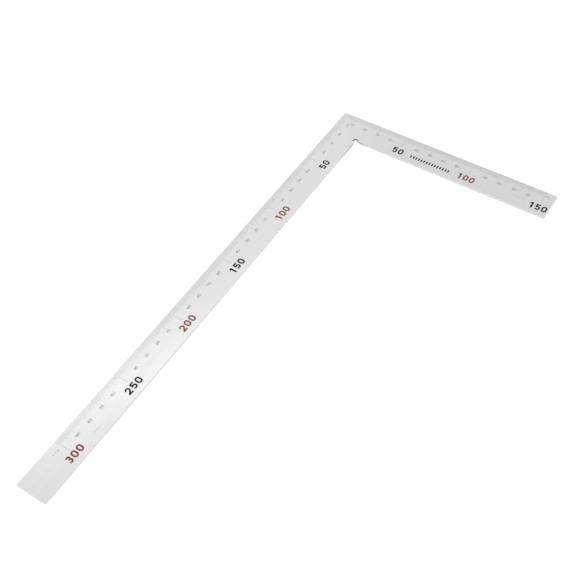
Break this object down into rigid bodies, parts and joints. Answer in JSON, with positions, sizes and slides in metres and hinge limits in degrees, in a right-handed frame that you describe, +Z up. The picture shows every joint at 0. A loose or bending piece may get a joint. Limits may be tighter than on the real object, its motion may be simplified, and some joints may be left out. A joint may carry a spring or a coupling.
{
  "type": "steel square ruler",
  "caption": "Flat right-angle steel ruler: long and short arm stamped from one sheet, millimetre scales etched from the outer corner along both outer edges, round relief at the inner corner.",
  "frame": {"origin": "middle of the outline's bounding box, on the face that the ruler rests on", "axes": "+Z up out of the marked face; the long arm runs along -Y and the short arm along +X from the outer corner, which is at the -X, +Y corner of the box"},
  "size_m": [0.157, 0.33, 0.0012],
  "materials": {
    "steel": "satin, finely brushed along the long arm",
    "black_enamel": "semi-matt black enamel baked into the etched marks",
    "red_enamel": "semi-matt brick red enamel baked into the etched marks"
  },
  "bodies": {
    "root": {"blade": "steel", "long_ticks": "black_enamel", "short_ticks": "black_enamel", "long_small_numbers": "black_enamel", "short_small_numbers": "black_enamel", "long_number_50": "black_enamel", "long_number_100": "red_enamel", "long_number_150": "black_enamel", "long_number_200": "red_enamel", "long_number_250": "black_enamel", "long_number_300": "red_enamel", "short_number_50": "black_enamel", "short_number_100": "red_enamel", "short_number_150": "black_enamel", "long_unit_bars": "black_enamel", "short_unit_bars": "black_enamel", "material_bars": "black_enamel", "long_fine_bars": "black_enamel", "short_fine_bars": "black_enamel"}
  },
  "joints": []
}
